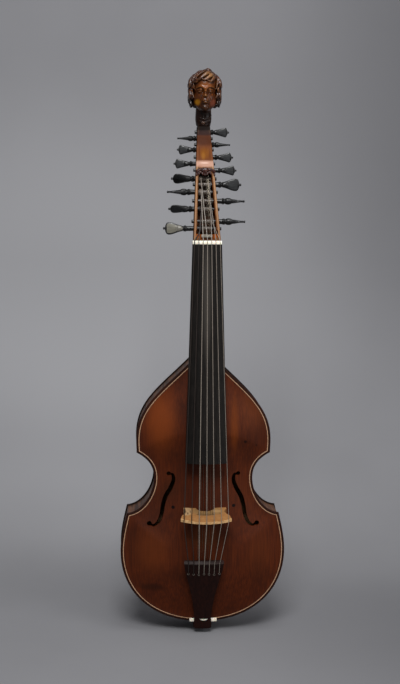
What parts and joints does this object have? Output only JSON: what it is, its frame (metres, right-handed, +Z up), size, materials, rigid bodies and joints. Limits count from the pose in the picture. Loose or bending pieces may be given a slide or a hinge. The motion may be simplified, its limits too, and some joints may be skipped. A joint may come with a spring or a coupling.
{
  "type": "viola d'amore",
  "caption": "Waisted bowed string instrument with sympathetic strings under the fingerboard, flat-headed pegs in a long pegbox and a carved head.",
  "frame": {"origin": "middle of the end button's flat end, halfway through the ribs' height", "axes": "+Z up the instrument towards the carved head, +X to the treble side, -Y out of the belly"},
  "size_m": [0.2316, 0.147, 0.7937],
  "materials": {
    "varnished_maple": "satin varnish",
    "amber_maple": "satin varnish",
    "varnished_spruce": "satin varnish",
    "bone": "polished bone",
    "ebony": "satin",
    "bridge_maple": "bare",
    "carved_wood": "gloss varnish",
    "gut": "satin",
    "wire": "drawn wire",
    "plain_spruce": "bare"
  },
  "bodies": {
    "instrument": {"belly": "varnished_spruce", "back": "varnished_maple", "rib_upper_treble": "varnished_maple", "rib_upper_bass": "varnished_maple", "rib_waist_treble": "varnished_maple", "rib_waist_bass": "varnished_maple", "rib_lower_treble": "varnished_maple", "rib_lower_bass": "varnished_maple", "corner_block_upper_treble": "plain_spruce", "corner_block_upper_bass": "plain_spruce", "corner_block_lower_treble": "plain_spruce", "corner_block_lower_bass": "plain_spruce", "neck_block": "plain_spruce", "tail_block": "plain_spruce", "bass_bar": "plain_spruce", "lower_back_bar": "plain_spruce", "sound_post_plate": "plain_spruce", "upper_back_bar": "plain_spruce", "sound_post": "plain_spruce", "neck": "varnished_maple", "fingerboard": "ebony", "nut": "bone", "bridge": "bridge_maple", "tailpiece": "ebony", "saddle": "bone", "end_button": "ebony", "pegbox": "amber_maple", "second_nut": "bone", "playing_string_1": "gut", "playing_string_2": "gut", "playing_string_3": "gut", "playing_string_4": "gut", "playing_string_5": "gut", "playing_string_6": "gut", "playing_string_7": "gut", "sympathetic_string_1": "wire", "sympathetic_string_2": "wire", "sympathetic_string_3": "wire", "sympathetic_string_4": "wire", "sympathetic_string_5": "wire", "sympathetic_string_6": "wire", "sympathetic_string_7": "wire", "carved_head": "carved_wood"},
    "peg_playing_1": {"peg_playing_1": "ebony"},
    "peg_playing_2": {"peg_playing_2": "ebony"},
    "peg_playing_3": {"peg_playing_3": "ebony"},
    "peg_playing_4": {"peg_playing_4": "ebony"},
    "peg_playing_5": {"peg_playing_5": "ebony"},
    "peg_playing_6": {"peg_playing_6": "ebony"},
    "peg_playing_7": {"peg_playing_7": "ebony"},
    "peg_sympathetic_1": {"peg_sympathetic_1": "ebony"},
    "peg_sympathetic_2": {"peg_sympathetic_2": "ebony"},
    "peg_sympathetic_3": {"peg_sympathetic_3": "ebony"},
    "peg_sympathetic_4": {"peg_sympathetic_4": "ebony"},
    "peg_sympathetic_5": {"peg_sympathetic_5": "ebony"},
    "peg_sympathetic_6": {"peg_sympathetic_6": "ebony"},
    "peg_sympathetic_7": {"peg_sympathetic_7": "ebony"}
  },
  "joints": [
    {"name": "peg_playing_1_turn", "type": "hinge", "parent": "instrument", "child": "peg_playing_1", "pos_m": [0.00247, -0.00815, 0.569], "axis": [1, 0, 0], "range_deg": [-90, 90]},
    {"name": "peg_playing_2_turn", "type": "hinge", "parent": "instrument", "child": "peg_playing_2", "pos_m": [0.00203, 0.0018, 0.5959], "axis": [1, 0, 0], "range_deg": [-90, 90]},
    {"name": "peg_playing_3_turn", "type": "hinge", "parent": "instrument", "child": "peg_playing_3", "pos_m": [0.00165, 0.01053, 0.6195], "axis": [1, 0, 0], "range_deg": [-90, 90]},
    {"name": "peg_playing_4_turn", "type": "hinge", "parent": "instrument", "child": "peg_playing_4", "pos_m": [0.00134, 0.01741, 0.6381], "axis": [1, 0, 0], "range_deg": [-90, 90]},
    {"name": "peg_playing_5_turn", "type": "hinge", "parent": "instrument", "child": "peg_playing_5", "pos_m": [0.00147, 0.01445, 0.6301], "axis": [1, 0, 0], "range_deg": [-90, 90]},
    {"name": "peg_playing_6_turn", "type": "hinge", "parent": "instrument", "child": "peg_playing_6", "pos_m": [0.00185, 0.00595, 0.6071], "axis": [1, 0, 0], "range_deg": [-90, 90]},
    {"name": "peg_playing_7_turn", "type": "hinge", "parent": "instrument", "child": "peg_playing_7", "pos_m": [0.00231, -0.00452, 0.5788], "axis": [1, 0, 0], "range_deg": [-90, 90]},
    {"name": "peg_sympathetic_1_turn", "type": "hinge", "parent": "instrument", "child": "peg_sympathetic_1", "pos_m": [0.001, 0.02522, 0.6592], "axis": [1, 0, 0], "range_deg": [-90, 90]},
    {"name": "peg_sympathetic_2_turn", "type": "hinge", "parent": "instrument", "child": "peg_sympathetic_2", "pos_m": [0.00067, 0.03258, 0.6791], "axis": [1, 0, 0], "range_deg": [-90, 90]},
    {"name": "peg_sympathetic_3_turn", "type": "hinge", "parent": "instrument", "child": "peg_sympathetic_3", "pos_m": [0.00041, 0.03854, 0.6952], "axis": [1, 0, 0], "range_deg": [-90, 90]},
    {"name": "peg_sympathetic_4_turn", "type": "hinge", "parent": "instrument", "child": "peg_sympathetic_4", "pos_m": [0.00026, 0.04186, 0.7042], "axis": [1, 0, 0], "range_deg": [-90, 90]},
    {"name": "peg_sympathetic_5_turn", "type": "hinge", "parent": "instrument", "child": "peg_sympathetic_5", "pos_m": [0.00055, 0.03532, 0.6865], "axis": [1, 0, 0], "range_deg": [-90, 90]},
    {"name": "peg_sympathetic_6_turn", "type": "hinge", "parent": "instrument", "child": "peg_sympathetic_6", "pos_m": [0.00084, 0.0287, 0.6686], "axis": [1, 0, 0], "range_deg": [-90, 90]},
    {"name": "peg_sympathetic_7_turn", "type": "hinge", "parent": "instrument", "child": "peg_sympathetic_7", "pos_m": [0.00114, 0.02189, 0.6502], "axis": [1, 0, 0], "range_deg": [-90, 90]}
  ]
}
